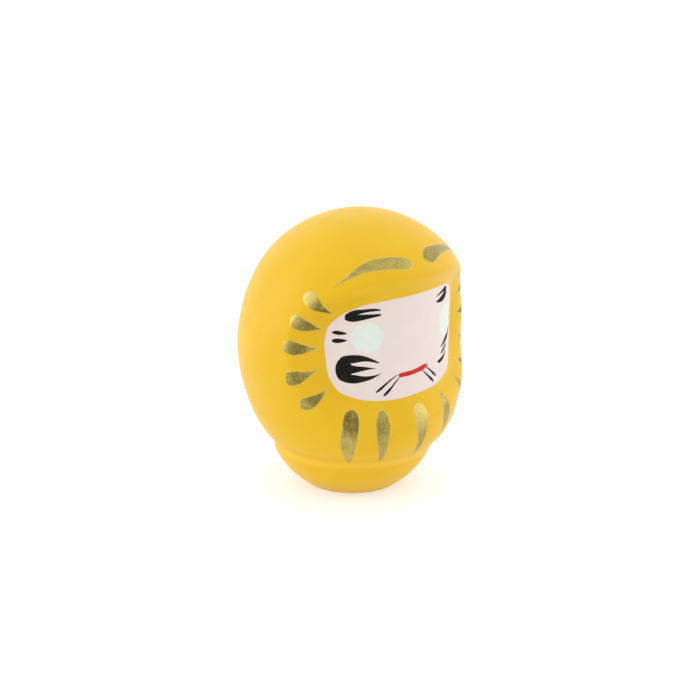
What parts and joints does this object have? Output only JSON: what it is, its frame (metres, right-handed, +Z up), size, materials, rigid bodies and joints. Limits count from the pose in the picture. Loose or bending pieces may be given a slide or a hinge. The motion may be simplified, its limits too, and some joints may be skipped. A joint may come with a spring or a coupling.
{
  "type": "daruma doll",
  "caption": "Hollow moulded paper doll with a sunken painted face, gold brush strokes and a weighted base bowl with a small flat foot.",
  "frame": {"origin": "centre of the flat foot, on the underside of the base weight", "axes": "+Z up through the crown, the face looks along -Y, +X to the doll's own left"},
  "size_m": [0.0786, 0.0753, 0.095],
  "materials": {
    "yellow_shell": "satin yellow paint over moulded paper",
    "yellow_base": "satin yellow paint over a fired clay weight",
    "hide_glue": "dried glue",
    "yellow_strip": "paper strip under the yellow paint",
    "face_paint": "matte pale pink paint",
    "eye_paint": "matte greenish white paint",
    "red_paint": "matte red paint",
    "black_paint": "matte black ink",
    "gold_paint": "metallic gold paint"
  },
  "bodies": {
    "root": {"back_seam_strip": "yellow_strip", "back_slit_glue": "hide_glue", "base_weight": "yellow_base", "beard_left_lower": "black_paint", "beard_left_middle": "black_paint", "beard_left_upper": "black_paint", "beard_right": "black_paint", "black_brow_left": "black_paint", "black_brow_right": "black_paint", "eye_white_left": "eye_paint", "eye_white_right": "eye_paint", "face_coat": "face_paint", "glue_ring": "hide_glue", "gold_brow_left": "gold_paint", "gold_brow_right": "gold_paint", "gold_cheek_left_1": "gold_paint", "gold_cheek_left_2": "gold_paint", "gold_cheek_left_3": "gold_paint", "gold_cheek_left_4": "gold_paint", "gold_cheek_left_5": "gold_paint", "gold_cheek_right_1": "gold_paint", "gold_cheek_right_2": "gold_paint", "gold_cheek_right_3": "gold_paint", "gold_cheek_right_4": "gold_paint", "gold_cheek_right_5": "gold_paint", "gold_chin_1": "gold_paint", "gold_chin_2": "gold_paint", "gold_chin_3": "gold_paint", "gold_chin_4": "gold_paint", "gold_chin_5": "gold_paint", "joint_paper_strip": "yellow_strip", "mouth": "red_paint", "paper_shell": "yellow_shell", "temple_dash_left_lower": "black_paint", "temple_dash_left_upper": "black_paint", "temple_dash_right_lower": "black_paint", "temple_dash_right_upper": "black_paint", "whisker_left_lower": "black_paint", "whisker_left_upper": "black_paint", "whisker_right_lower": "black_paint", "whisker_right_upper": "black_paint"}
  },
  "joints": []
}
